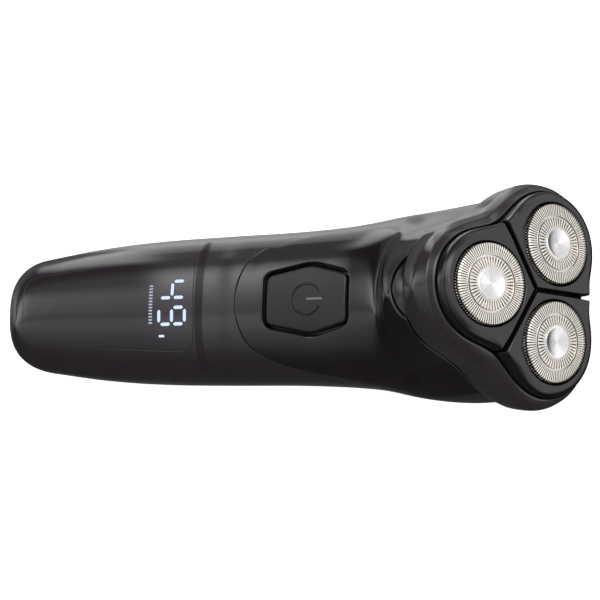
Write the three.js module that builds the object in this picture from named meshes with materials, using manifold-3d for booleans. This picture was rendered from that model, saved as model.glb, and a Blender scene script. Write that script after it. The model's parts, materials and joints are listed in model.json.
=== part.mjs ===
// Cordless rotary shaver with three floating cutters on a tilted, hinged head.
// Millimetres. The shaver lies on its back: +X runs along the handle to the head,
// +Z is the side with the button and the display, and the model mirrors about Y = 0.
// The origin is the middle of the bounding box's bottom.
import * as THREE from 'three';
import { mergeVertices } from 'three/addons/utils/BufferGeometryUtils.js';
import Module from 'manifold-3d';

const wasm = await Module();
wasm.setup();

const DEG = Math.PI / 180;

// ---- Driving dimensions ----

const ORIGIN = { x: 89.855, z: 18.35 }; // from the charging end of the spine to the model origin
const SPINE = 174.5; // spine length, charging end to the centre of the cutter face
const HEAD_TILT = 32 * DEG; // the head's axis leans towards the front by this much
const BEND = { from: SPINE - 61, to: SPINE - 21 }; // stretch of spine that bends
const FLARE = { from: SPINE - 62, to: SPINE - 20.5 }; // the oval section turns into the clover
const GAP = 0.3; // clearance between neighbouring pieces
const WALL = 2; // moulded shell thickness

// Handle sections, as [distance along the spine, size].
const HALF_WIDTH = [[0, 15.4], [14, 17.4], [28, 19.4], [42, 20.7], [56, 21.4], [72, 21.8],
  [88, 22.1], [102, 22.7], [116, 23.9], [130, 26.2], [154, 28.8]];
const FRONT_HEIGHT = [[0, 13], [20, 16], [60, 18.5], [100, 19], [130, 21.5], [154, 28]];
const BACK_HEIGHT = [[0, 13], [20, 16.4], [46, 18.4], [60, 18.5], [112, 18.4],
  [121, 18], [130, 16.6], [154, 22.5]];
const SECTION_POWER = 2.5; // superellipse exponent of the handle sections
const END_ROUND = 12; // length of the rounding at the charging end
const END_FLAT = 0.36; // flat part of the end, as a share of the first section
const DOME_POWER = 2.3; // fullness of the rounding

// Head outline, a clover: radius = mean + lobes cos(3 angle) + shape cos(6 angle).
const CLOVER_SHAPE = -0.37;
const CLOVER_MEAN = [[-20.5, 26.9], [-15.5, 29.3], [-11, 29.6], [-7, 28.6], [-4.6, 27.0]];
const CLOVER_LOBES = [[-20.5, 3.7], [-15.5, 4.3], [-11, 4.8], [-7, 5.0], [-4.6, 5.1]];

// Levels along the head's axis; 0 is the plane of the three cutter centres.
const NECK_TOP = -20.8;
const HOUSING_BOTTOM = -20.2;
const HOUSING_TOP = -4.6;
const HOUSING_SIDES = 45;
const GEAR_BOTTOM = -27.5;
const GEAR_TOP = -25.3;

// Cutting units.
const CUTTER_CIRCLE = 15.83; // head centre to cutter centre
const CUTTER_TILT = 4.6 * DEG; // each unit leans outwards
const GUARD_RADIUS = 11.25;
const PAD_HOLE = 11.9;
const PAD_RIM = 0.8; // from the housing's top edge in to the pads
const GROOVE = 1.3; // width of the Y-shaped groove between the pads
const LOBES = [
  { name: 'front', turn: Math.PI },
  { name: 'left', turn: Math.PI / 3 },
  { name: 'right', turn: -Math.PI / 3 },
];

// Gear train: the driven gears sit on the cutter circle.
const PINION_TEETH = 12;
const GEAR_TEETH = 24;
const GEAR_MODULE = (2 * CUTTER_CIRCLE) / (PINION_TEETH + GEAR_TEETH);

// Rear hinge of the head, in the head's own plane.
const HINGE = { x: 24, z: -20.5, knuckle: 1.9, pin: 0.8, barrel: 9.6, outer: 7.3, room: 0.4 };

// ---- Materials ----

const finish = (color, roughness, metalness) =>
  new THREE.MeshStandardMaterial({ color, roughness, metalness });

const looks = {
  shell: finish(0x2b2a2e, 0.25, 0.3),
  satin: finish(0x232325, 0.45, 0.1),
  lens: finish(0x18181b, 0.08, 0.2),
  steel: finish(0xcfcac3, 0.3, 1),
  aluminium: finish(0xd4d2cf, 0.25, 1),
  rubber: finish(0x1a1a1b, 0.8, 0),
  nylon: finish(0xd9d6cc, 0.5, 0),
  board: finish(0x1d4a2e, 0.5, 0.1),
  battery: finish(0x3a6a9a, 0.4, 0.1),
  dark: finish(0x303034, 0.55, 0.1),
  nickel: finish(0xb8b6b0, 0.3, 1),
};

// ---- Small tools ----

const smoother = (x) => {
  const t = Math.min(1, Math.max(0, x));
  return t * t * t * (t * (6 * t - 15) + 10);
};

// Monotone cubic through [x, y] points, flat beyond both ends.
function curveThrough(points) {
  const last = points.length - 1;
  const slope = [];
  for (let i = 0; i < last; i++) {
    slope.push((points[i + 1][1] - points[i][1]) / (points[i + 1][0] - points[i][0]));
  }
  const tangent = points.map((_, i) => {
    if (i === 0 || i === last) {
      return slope[i === 0 ? 0 : last - 1];
    }
    const [a, b] = [slope[i - 1], slope[i]];
    return a * b <= 0 ? 0 : (2 * a * b) / (a + b);
  });
  return (x) => {
    if (x <= points[0][0]) {
      return points[0][1];
    }
    if (x >= points[last][0]) {
      return points[last][1];
    }
    const i = points.findIndex((p) => p[0] > x) - 1;
    const h = points[i + 1][0] - points[i][0];
    const t = (x - points[i][0]) / h;
    const rise = points[i + 1][1] - points[i][1];
    const a = tangent[i] * h - rise;
    const b = rise - tangent[i + 1] * h;
    return points[i][1] + t * rise + t * (1 - t) * (a * (1 - t) + b * t);
  };
}

// Closed geometry from rows of points; wrapping rows, columns or both.
function skin(rows, wrapRows, wrapColumns) {
  const columns = rows[0].length;
  const position = rows.flat().flatMap((p) => [p.x, p.y, p.z]);
  const index = [];
  const lastRow = wrapRows ? rows.length : rows.length - 1;
  const lastColumn = wrapColumns ? columns : columns - 1;
  for (let i = 0; i < lastRow; i++) {
    for (let j = 0; j < lastColumn; j++) {
      const a = i * columns + j;
      const b = i * columns + ((j + 1) % columns);
      const c = ((i + 1) % rows.length) * columns + j;
      const d = ((i + 1) % rows.length) * columns + ((j + 1) % columns);
      index.push(a, b, d, a, d, c);
    }
  }
  return { position, index };
}

function geometryOf({ position, index }) {
  const geometry = new THREE.BufferGeometry();
  geometry.setAttribute('position', new THREE.Float32BufferAttribute(position, 3));
  geometry.setIndex(index);
  return geometry;
}

function volumeOf(geometry) {
  const p = geometry.attributes.position;
  const [a, b, c] = [new THREE.Vector3(), new THREE.Vector3(), new THREE.Vector3()];
  let sum = 0;
  for (let i = 0; i < geometry.index.count; i += 3) {
    a.fromBufferAttribute(p, geometry.index.getX(i));
    b.fromBufferAttribute(p, geometry.index.getX(i + 1));
    c.fromBufferAttribute(p, geometry.index.getX(i + 2));
    sum += a.dot(b.cross(c));
  }
  return sum;
}

// A manifold solid from any closed three.js geometry, with its faces pointing out.
function solid(geometry, matrix) {
  const plain = geometry.clone();
  plain.deleteAttribute('normal');
  plain.deleteAttribute('uv');
  if (matrix) {
    plain.applyMatrix4(matrix);
  }
  const merged = mergeVertices(plain, 1e-4);
  const triVerts = new Uint32Array(merged.index.array);
  if (volumeOf(merged) < 0) {
    for (let i = 0; i < triVerts.length; i += 3) {
      [triVerts[i], triVerts[i + 1]] = [triVerts[i + 1], triVerts[i]];
    }
  }
  const vertProperties = new Float32Array(merged.attributes.position.array);
  return new wasm.Manifold(new wasm.Mesh({ numProp: 3, vertProperties, triVerts }));
}

function geometryFrom(body) {
  const mesh = body.getMesh();
  return geometryOf({ position: [...mesh.vertProperties], index: [...mesh.triVerts] });
}

function addPiece(parent, name, body, look) {
  const mesh = new THREE.Mesh(geometryFrom(body), looks[look]);
  mesh.name = name;
  parent.add(mesh);
  return mesh;
}

const at = (x, y, z) => new THREE.Matrix4().makeTranslation(x, y, z);

function prism(shape, bottom, top, curveSegments = 5) {
  const options = { depth: top - bottom, bevelEnabled: false, curveSegments };
  return solid(new THREE.ExtrudeGeometry(shape, options), at(0, 0, bottom));
}

function lathe(profile, segments = 40) {
  const points = profile.map(([x, y]) => new THREE.Vector2(x, y));
  const geometry = new THREE.LatheGeometry(points, segments);
  return solid(geometry, new THREE.Matrix4().makeRotationX(Math.PI / 2));
}

function rod(radius, bottom, top, x = 0, y = 0, segments = 24) {
  const geometry = new THREE.CylinderGeometry(radius, radius, top - bottom, segments);
  geometry.rotateX(Math.PI / 2);
  return solid(geometry, at(x, y, (top + bottom) / 2));
}

function block(x, y, z) {
  const geometry = new THREE.BoxGeometry(x[1] - x[0], y[1] - y[0], z[1] - z[0]);
  return solid(geometry, at((x[0] + x[1]) / 2, (y[0] + y[1]) / 2, (z[0] + z[1]) / 2));
}

// Polygon with every corner rounded.
function roundedShape(corners, radius) {
  const shape = new THREE.Shape();
  corners.forEach(([x, y], i) => {
    const corner = new THREE.Vector2(x, y);
    const before = new THREE.Vector2(...corners[(i + corners.length - 1) % corners.length]);
    const after = new THREE.Vector2(...corners[(i + 1) % corners.length]);
    const from = before.sub(corner).setLength(radius).add(corner);
    const to = after.sub(corner).setLength(radius).add(corner);
    if (i === 0) {
      shape.moveTo(from.x, from.y);
    } else {
      shape.lineTo(from.x, from.y);
    }
    shape.quadraticCurveTo(corner.x, corner.y, to.x, to.y);
  });
  shape.closePath();
  return shape;
}

// ---- The outer surface ----

const halfWidth = curveThrough(HALF_WIDTH);
const frontHeight = curveThrough(FRONT_HEIGHT);
const backHeight = curveThrough(BACK_HEIGHT);
const cloverMean = curveThrough(CLOVER_MEAN);
const cloverLobes = curveThrough(CLOVER_LOBES);

const lean = (s) => HEAD_TILT * smoother((s - BEND.from) / (BEND.to - BEND.from));

// Point of the spine in the X-Z plane: straight, then bending towards the front.
const SPINE_STEP = 0.25;
const spineTable = [{ x: 0, z: 0 }];
for (let s = 0; s < SPINE + 1; s += SPINE_STEP) {
  const angle = lean(s + SPINE_STEP / 2);
  const { x, z } = spineTable[spineTable.length - 1];
  spineTable.push({ x: x + SPINE_STEP * Math.cos(angle), z: z + SPINE_STEP * Math.sin(angle) });
}
function spineAt(s) {
  const i = Math.min(spineTable.length - 2, Math.floor(s / SPINE_STEP));
  const t = s / SPINE_STEP - i;
  const [a, b] = [spineTable[i], spineTable[i + 1]];
  return { x: a.x + t * (b.x - a.x), z: a.z + t * (b.z - a.z) };
}

const clover = (angle, level) =>
  cloverMean(level) + cloverLobes(level) * Math.cos(3 * angle) + CLOVER_SHAPE * Math.cos(6 * angle);

// Section radius; angle 0 is the front, +90 degrees is +Y.
function radiusAt(s, angle) {
  const c = Math.abs(Math.cos(angle));
  const height = Math.cos(angle) > 0 ? frontHeight(s) : backHeight(s);
  const side = Math.abs(Math.sin(angle)) / halfWidth(s);
  const oval = ((c / height) ** SECTION_POWER + side ** SECTION_POWER) ** (-1 / SECTION_POWER);
  const dome = (1 - Math.max(0, 1 - s / END_ROUND) ** DOME_POWER) ** (1 / DOME_POWER);
  const blend = smoother((s - FLARE.from) / (FLARE.to - FLARE.from));
  const handle = oval * (END_FLAT + (1 - END_FLAT) * dome);
  return (1 - blend) * handle + blend * clover(angle, s - SPINE);
}

// Point of a section, moved inwards by depth within the section's plane.
function sectionPoint(s, angle, depth) {
  const { x, z } = spineAt(s);
  const r = radiusAt(s, angle) - depth;
  const u = r * Math.cos(angle);
  const t = lean(s);
  return new THREE.Vector3(x - Math.sin(t) * u, r * Math.sin(angle), z + Math.cos(t) * u);
}

// Point below the surface; near the rounded end the depth follows the surface's normal.
function surfacePoint(s, angle, depth = 0) {
  if (s > END_ROUND + 4 || depth === 0) {
    return sectionPoint(s, angle, depth);
  }
  const here = sectionPoint(s, angle, 0);
  const along = sectionPoint(s + 0.02, angle, 0).sub(here);
  const around = sectionPoint(s, angle + 0.01, 0).sub(here);
  const normal = along.cross(around).normalize();
  const outward = new THREE.Vector3(0, here.y, here.z);
  if (normal.dot(outward) < 0) {
    normal.negate();
  }
  return here.addScaledVector(normal, -depth);
}

// A curved wall between two depths, over a range of stations and of angles.
function wall(stations, angleFrom, angleTo, columns, outer, inner) {
  const line = (s, depth) => Array.from({ length: columns + 1 }, (_, j) => {
    const slack = GAP / 2 / radiusAt(s, Math.PI / 2);
    const [from, to] = [angleFrom + slack, angleTo - slack];
    return surfacePoint(s, from + ((to - from) * j) / columns, depth);
  });
  const rows = stations.map((s) => [...line(s, outer), ...line(s, inner).reverse()]);
  const sides = skin(rows, false, true);
  const width = 2 * (columns + 1);
  [0, rows.length - 1].forEach((i, end) => {
    for (let j = 0; j < columns; j++) {
      const [a, b] = [i * width + j, i * width + j + 1];
      const [c, d] = [i * width + width - 1 - j, i * width + width - 2 - j];
      sides.index.push(...(end ? [a, b, d, a, d, c] : [b, a, c, b, c, d]));
    }
  });
  return solid(geometryOf(sides));
}

const END_STATIONS = [0, 0.5, 1.6, 3.6, 7, 12];
const HANDLE_STATIONS = [...END_STATIONS, 26, 44, 64, 86, 104, 116, 124, 132, 140, 147,
  SPINE + NECK_TOP];

// ---- Placement groups ----

const shaver = new THREE.Group();
shaver.position.set(-ORIGIN.x, 0, ORIGIN.z);

const headCentre = spineAt(SPINE);
const head = new THREE.Group(); // its z is the head's axis, its x points to the rear hinge
head.position.set(headCentre.x, 0, headCentre.z);
head.rotation.y = Math.PI / 2 - HEAD_TILT;
shaver.add(head);
head.updateMatrix();
const headMatrix = head.matrix.clone();
const inHandle = (body) => body.transform(headMatrix.elements);

// Outline of the head or neck at one level, brought in by depth; x points to the rear.
function cloverShape(level, depth, count = 42) {
  const points = Array.from({ length: count }, (_, i) => {
    const angle = (2 * Math.PI * i) / count;
    const r = (level < NECK_TOP ? radiusAt(SPINE + level, angle) : clover(angle, level)) - depth;
    return new THREE.Vector2(-r * Math.cos(angle), r * Math.sin(angle));
  });
  return new THREE.Shape(points);
}

// Cylinder about the hinge's axis, in the head's frame.
function hingeBarrel(radius, length, y = 0, segments = 16) {
  const geometry = new THREE.CylinderGeometry(radius, radius, length, segments);
  return solid(geometry, at(HINGE.x, y, HINGE.z));
}

// ---- Handle shells ----

// Tongue of the neck cover, seen from the front: a rounded nose that widens to the head.
function tongueShape(grow) {
  const side = [[79.2, 6.5], [82, 12.2], [88, 16.6], [98, 19.6], [110, 21.9], [118, 23.8],
    [128, 27], [138, 34]];
  const upper = side.map(([x, y]) => new THREE.Vector2(x - grow * 0.6, y + grow * 0.8));
  const nose = new THREE.Vector2(78.3 - grow, 0);
  const lower = upper.map((p) => new THREE.Vector2(p.x, -p.y)).reverse();
  const outline = new THREE.SplineCurve([...lower, nose, ...upper]).getPoints(22);
  const [end, wide] = [SPINE, 42]; // beyond the neck cover on every side
  return new THREE.Shape([new THREE.Vector2(end, -wide), ...outline, new THREE.Vector2(end, wide)]);
}

const WINDOW = { from: 9, to: 65, narrow: 9.5, wide: 14 };
const windowShape = (grow) => roundedShape([
  [WINDOW.from - grow, -WINDOW.narrow - grow], [WINDOW.to + grow, -WINDOW.wide - grow],
  [WINDOW.to + grow, WINDOW.wide + grow], [WINDOW.from - grow, WINDOW.narrow + grow]], 4.5);

const BUTTON = { from: 87.4, apex: 102, to: 113.4, half: 7.5, wide: 10.6, travel: 0.7 };
const buttonShape = (grow) => roundedShape([
  [BUTTON.from - grow, -BUTTON.half - grow], [BUTTON.apex, -BUTTON.wide - grow],
  [BUTTON.to + grow, -BUTTON.half - grow], [BUTTON.to + grow, BUTTON.half + grow],
  [BUTTON.apex, BUTTON.wide + grow], [BUTTON.from - grow, BUTTON.half + grow]], 2.4);

// Eye-shaped finger recess where the neck cover meets the head; half sizes and middle.
const RECESS = { deep: 1.6, wide: 8.6, tall: 2.6, x: -30.2, z: -22.6 };

function handleShells() {
  const frontHalf = wall(HANDLE_STATIONS, -Math.PI / 2, Math.PI / 2, 20, 0, WALL);
  const rearHalf = wall(HANDLE_STATIONS, Math.PI / 2, 1.5 * Math.PI, 20, 0, WALL);
  const [low, high] = [-8, 62]; // the cutting outlines run from below the seam to above the neck
  const front = frontHalf
    .subtract(prism(tongueShape(GAP), low, high))
    .subtract(prism(windowShape(GAP), 4, high));
  addPiece(shaver, 'front_shell', front, 'shell');
  addPiece(shaver, 'display_window', frontHalf.intersect(prism(windowShape(0), 4, high)), 'lens');

  const recess = new THREE.SphereGeometry(1, 20, 12);
  recess.scale(RECESS.deep, RECESS.wide, RECESS.tall);
  const thumb = solid(recess, at(RECESS.x, 0, RECESS.z));
  const neck = frontHalf
    .intersect(prism(tongueShape(0), low, high))
    .subtract(prism(buttonShape(GAP), 8, high))
    .subtract(inHandle(thumb));
  addPiece(shaver, 'neck_cover', neck, 'shell');

  // Rear shell with the two outer knuckles of the head's hinge.
  const floor = block([0, 130], [-30, 30], [-ORIGIN.z - 9, -ORIGIN.z]); // trims the belly flat
  const room = hingeBarrel(HINGE.knuckle + HINGE.room, HINGE.barrel + 2 * GAP);
  let rear = rearHalf.subtract(floor).subtract(inHandle(room));
  for (const y of [-HINGE.outer, HINGE.outer]) {
    const web = block([HINGE.x - HINGE.knuckle, HINGE.x + 1], [y - 2, y + 2],
      [HINGE.z - 5, HINGE.z - 0.6]);
    rear = rear.add(inHandle(hingeBarrel(HINGE.knuckle, 4, y).add(web)));
  }
  rear = rear.subtract(inHandle(hingeBarrel(HINGE.pin + GAP, 30)));
  addPiece(shaver, 'rear_shell', rear, 'shell');
}

// ---- Button, electronics and battery ----

function controls() {
  const cap = wall([82, 88, 94, 100, 106, 112, 118], -0.8, 0.8, 12, -0.25, 3.4);
  addPiece(shaver, 'power_button', cap.intersect(prism(buttonShape(-GAP), 8, 40)), 'satin');

  const middle = (BUTTON.from + BUTTON.to) / 2;
  const seal = roundedShape([[middle - 9, -6.5], [middle + 9, -6.5], [middle + 9, 6.5],
    [middle - 9, 6.5]], 3);
  addPiece(shaver, 'button_membrane', prism(seal, 12.6, 13.6, 4), 'rubber');
  addPiece(shaver, 'tact_switch', block([middle - 3, middle + 3], [-3, 3], [9.1, 10.9])
    .add(rod(1.7, 10.5, 12.3, middle, 0, 12)), 'dark');
}

const BOARD = { from: 26, to: 108, half: 12, bottom: 7.2, top: 8.8 };

function electronics() {
  const outline = roundedShape([[BOARD.from, -BOARD.half], [BOARD.to, -BOARD.half],
    [BOARD.to, BOARD.half], [BOARD.from, BOARD.half]], 3);
  addPiece(shaver, 'circuit_board', prism(outline, BOARD.bottom, BOARD.top, 3), 'board');
  const module = roundedShape([[50, -9.5], [65.5, -9.5], [65.5, 9.5], [50, 9.5]], 1);
  addPiece(shaver, 'display_module', prism(module, BOARD.top + GAP, 13.4, 3), 'dark');

  // Li-ion cell along the handle, with a contact tab at each end.
  const cell = { from: 32, to: 82, radius: 7.1, z: -4.2 };
  const can = lathe([[0, 0], [6.4, 0], [7.1, 0.7], [7.1, 47.8], [6.4, 48.6], [3, 48.6], [3, 50],
    [0, 50]], 18);
  const lie = new THREE.Matrix4().makeRotationY(Math.PI / 2).setPosition(cell.from, 0, cell.z);
  addPiece(shaver, 'battery_cell', can.transform(lie.elements), 'battery');
  const tabs = [['battery_tab_minus', cell.from - 0.9], ['battery_tab_plus', cell.to + GAP]];
  for (const [name, x] of tabs) {
    const tab = block([x, x + 0.5], [-3, 3], [cell.z - 4, BOARD.bottom - 3.2]);
    addPiece(shaver, name, tab, 'nickel');
  }

  // Saddle that carries the cell and the board.
  const saddle = new THREE.Shape();
  const [top, under] = [BOARD.bottom - GAP, BOARD.bottom - 2.6];
  saddle.moveTo(-top, -12.5);
  saddle.lineTo(-top, -8.8);
  saddle.lineTo(-cell.z + 3, -8.8);
  saddle.lineTo(-cell.z + 3, -10.8);
  saddle.lineTo(-under + 1.6, -12.5);
  saddle.closePath();
  const left = prism(saddle, 28, 86);
  const plate = block([-top, -under], [-12.5, 12.5], [28, 86]);
  const right = left.mirror([0, 1, 0]);
  addPiece(shaver, 'battery_saddle', left.add(plate).add(right).transform(
    new THREE.Matrix4().makeRotationY(Math.PI / 2).elements), 'nylon');
}

// Two-pin charging inlet that closes the end of the handle.
function chargingInlet() {
  const outline = Array.from({ length: 28 }, (_, j) => {
    const angle = (2 * Math.PI * j) / 28;
    const r = radiusAt(0, angle) - GAP;
    return new THREE.Vector2(r * Math.cos(angle), r * Math.sin(angle));
  });
  const turn = new THREE.Matrix4().makeRotationY(Math.PI / 2);
  turn.multiply(new THREE.Matrix4().makeRotationZ(Math.PI));
  const recess = roundedShape([[-2.3, -3.6], [2.3, -3.6], [2.3, 3.6], [-2.3, 3.6]], 1.4);
  const plug = prism(new THREE.Shape(outline), 0, 12).subtract(prism(recess, -1, 9));
  addPiece(shaver, 'charging_inlet', plug.transform(turn.elements), 'dark');
  for (const [name, y] of [['inlet_pin_left', 1.7], ['inlet_pin_right', -1.7]]) {
    const pin = rod(0.6, 4.6, 8.7, 0, y, 12).transform(turn.elements);
    addPiece(shaver, name, pin, 'nickel');
  }
}

// ---- Drive in the neck, built in the head's frame ----

// Gear outline with straight-sided teeth, thinned for backlash.
function gearShape(teeth, phase) {
  const pitch = (teeth * GEAR_MODULE) / 2;
  const [root, tip] = [pitch - 1.2 * GEAR_MODULE, pitch + 0.82 * GEAR_MODULE];
  const step = (2 * Math.PI) / teeth;
  const points = [];
  for (let i = 0; i < teeth; i++) {
    const middle = i * step + phase;
    for (const [r, share] of [[root, -0.31], [tip, -0.1], [tip, 0.1], [root, 0.31]]) {
      const angle = middle + share * step;
      points.push(new THREE.Vector2(r * Math.cos(angle), r * Math.sin(angle)));
    }
  }
  return new THREE.Shape(points);
}

const MOTOR = { top: -31.6, length: 18.6, radius: 9.2 };

function drive() {
  const can = lathe([[0, MOTOR.top - 8], [1.5, MOTOR.top - 8], [1.5, MOTOR.top], [3.2, MOTOR.top],
    [3.2, MOTOR.top - 0.8], [8.6, MOTOR.top - 0.8], [MOTOR.radius, MOTOR.top - 1.4],
    [MOTOR.radius, MOTOR.top - MOTOR.length + 1], [8.2, MOTOR.top - MOTOR.length],
    [0, MOTOR.top - MOTOR.length]], 20);
  addPiece(head, 'motor_can', can, 'steel');

  const shaft = rod(1, MOTOR.top - 7.4, GEAR_TOP + 0.4, 0, 0, 14);
  const pinion = prism(gearShape(PINION_TEETH, 0), GEAR_BOTTOM, GEAR_TOP);
  addPiece(head, 'motor_pinion', shaft.add(pinion), 'nickel');

  // Plate that carries the motor and the gear axles.
  let plate = prism(cloverShape(-31.2, WALL + 2.2), -31.2, -29.4).subtract(rod(1.6, -32, -28));
  let cover = prism(cloverShape(-24.4, WALL + 0.6), -24.4, -22.6);
  for (const { turn } of LOBES) {
    const [x, y] = [CUTTER_CIRCLE * Math.cos(turn), CUTTER_CIRCLE * Math.sin(turn)];
    plate = plate.subtract(rod(1.3, -32, -28, x, y, 16));
    cover = cover.subtract(rod(3.4, -26, -20, x, y, 20));
  }
  addPiece(head, 'motor_plate', plate, 'dark');
  addPiece(head, 'gear_cover', cover, 'satin');

  // Soft ring that seals the head on the gear cover.
  const seal = prism(cloverShape(-20.5, WALL + 1.4), -22.3, -20.6)
    .subtract(prism(cloverShape(-20.5, WALL + 3.2), -23, -20));
  addPiece(head, 'head_seal', seal, 'rubber');

  for (const lobe of LOBES) {
    driveUnit(lobe);
  }
}

// One driven gear on its axle, with the sprung spindle that turns the cutter.
function driveUnit({ name, turn }) {
  const unit = new THREE.Group();
  unit.position.set(CUTTER_CIRCLE * Math.cos(turn), CUTTER_CIRCLE * Math.sin(turn), 0);
  unit.rotation.z = turn;
  head.add(unit);

  // A pinion tooth points at every driven gear, so each gear has a gap facing the pinion.
  const phase = Math.PI + Math.PI / GEAR_TEETH;
  const gear = prism(gearShape(GEAR_TEETH, phase), GEAR_BOTTOM, GEAR_TOP)
    .add(rod(2.9, GEAR_TOP - 0.5, -18.4, 0, 0, 14))
    .subtract(rod(1.3, -28, -26.4, 0, 0, 10))
    .subtract(rod(2.15, -26, -18, 0, 0, 12));
  addPiece(unit, 'drive_gear_' + name, gear, 'nylon');
  addPiece(unit, 'gear_axle_' + name, rod(1, -31.2, -26.7, 0, 0, 10), 'nickel');

  const hex = new THREE.Shape(Array.from({ length: 6 }, (_, i) =>
    new THREE.Vector2(1.3 * Math.cos((i * Math.PI) / 3), 1.3 * Math.sin((i * Math.PI) / 3))));
  const spindle = rod(1.8, -22, -9.7, 0, 0, 12).add(prism(hex, -10, -5.7));
  addPiece(unit, 'drive_spindle_' + name, spindle, 'nylon');

  const [turns, coil, perTurn] = [4, 1.45, 7];
  const step = (2 * Math.PI) / perTurn;
  const helix = new THREE.CatmullRomCurve3(Array.from({ length: turns * perTurn + 1 }, (_, i) =>
    new THREE.Vector3(coil * Math.cos(i * step), coil * Math.sin(i * step),
      -25.5 + (2.9 * i) / (turns * perTurn))));
  const wire = new THREE.Shape([[0.2, 0], [0, 0.2], [-0.2, 0], [0, -0.2]].map(([x, y]) =>
    new THREE.Vector2(x, y)));
  const options = { steps: turns * perTurn, extrudePath: helix, bevelEnabled: false };
  const spring = solid(new THREE.ExtrudeGeometry(wire, options));
  addPiece(unit, 'spindle_spring_' + name, spring, 'nickel');
}

// ---- Head ----

function headHousing() {
  const profile = [[HOUSING_BOTTOM, 0], [-16.5, 0], [-13, 0], [-9.5, 0], [-6.8, 0],
    [HOUSING_TOP, 0.2], [HOUSING_TOP, 0.5], [-6.4, 1.7], [-12, 2], [HOUSING_BOTTOM, 2]];
  const rows = profile.map(([level, depth]) => Array.from({ length: HOUSING_SIDES }, (_, i) => {
    const angle = (2 * Math.PI * i) / HOUSING_SIDES;
    const r = clover(angle, level) - depth;
    return new THREE.Vector3(-r * Math.cos(angle), r * Math.sin(angle), level);
  }));
  let body = solid(geometryOf(skin(rows, true, true)));
  for (const y of [-HINGE.outer - 0.1, HINGE.outer + 0.1]) {
    body = body.subtract(hingeBarrel(HINGE.knuckle + HINGE.room, 4.6, y));
  }
  const half = HINGE.barrel / 2;
  const web = block([HINGE.x - 2.6, HINGE.x + 1], [-half, half], [HINGE.z + 0.6, HINGE.z + 4.5]);
  body = body.add(hingeBarrel(HINGE.knuckle, HINGE.barrel)).add(web)
    .subtract(hingeBarrel(HINGE.pin + GAP, 30));
  addPiece(head, 'head_housing', body, 'shell');
  addPiece(head, 'hinge_pin', hingeBarrel(HINGE.pin, 17.6), 'nickel');
}

// Frame that holds the three cutters, with the knob that locks it.
function retainingFrame() {
  let frame = prism(cloverShape(-11, 3.1, 36), -9.9, -8.5).subtract(rod(3, -11, -8, 0, 0, 14));
  for (const { turn } of LOBES) {
    const [x, y] = [CUTTER_CIRCLE * Math.cos(turn), CUTTER_CIRCLE * Math.sin(turn)];
    frame = frame.subtract(rod(6.2, -11, -8, x, y, 16));
  }
  addPiece(head, 'retaining_frame', frame, 'dark');
  const knob = rod(2.6, -10.6, -8.3, 0, 0, 14).add(rod(6, -12.3, -10.2, 0, 0, 20))
    .add(block([-5.4, 5.4], [-1, 1], [-14, -12.1]));
  addPiece(head, 'lock_knob', knob, 'satin');
}

// Distance from the cutter centre to the pad's edge, in the direction of an angle.
function padReach(angle) {
  const rim = (x, y) => clover(Math.atan2(y, x), HOUSING_TOP) - PAD_RIM;
  const groove = Math.sin(Math.PI / 3);
  let [low, high] = [5, 30];
  for (let i = 0; i < 24; i++) {
    const r = (low + high) / 2;
    const [x, y] = [CUTTER_CIRCLE + r * Math.cos(angle), r * Math.sin(angle)];
    const inGroove = x * groove - Math.abs(y) * Math.cos(Math.PI / 3) < GROOVE / 2;
    const outside = Math.hypot(x, y) > rim(x, y);
    if (inGroove || outside) {
      high = r;
    } else {
      low = r;
    }
  }
  return low;
}

// Level of the flat facet that surrounds a cutter; it falls away outwards.
const facet = (x) => -(x - CUTTER_CIRCLE) * Math.tan(CUTTER_TILT);

function padSolid() {
  const count = 42;
  const rings = [
    { edge: () => PAD_HOLE, level: () => -7 },
    { edge: () => PAD_HOLE, level: facet },
    { edge: (o, w) => o - w, level: facet },
    { edge: (o, w) => o - w * 0.42, level: (x, w) => facet(x) - w * 0.42 },
    { edge: (o) => o, level: (x, w) => facet(x) - w * 1.35 },
    { edge: (o) => o, level: () => -7 },
  ];
  const rows = rings.map(({ edge, level }) => Array.from({ length: count }, (_, i) => {
    const angle = (2 * Math.PI * i) / count;
    const outline = padReach(angle);
    const outward = smoother((Math.cos(angle) + 0.55) / 0.6);
    const shoulder = 0.35 + outward * 1.6;
    const r = Math.max(edge(outline, shoulder), PAD_HOLE);
    const x = CUTTER_CIRCLE + r * Math.cos(angle);
    return new THREE.Vector3(x, r * Math.sin(angle), level(x, shoulder));
  }));
  return solid(geometryOf(skin(rows, true, true)));
}

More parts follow.
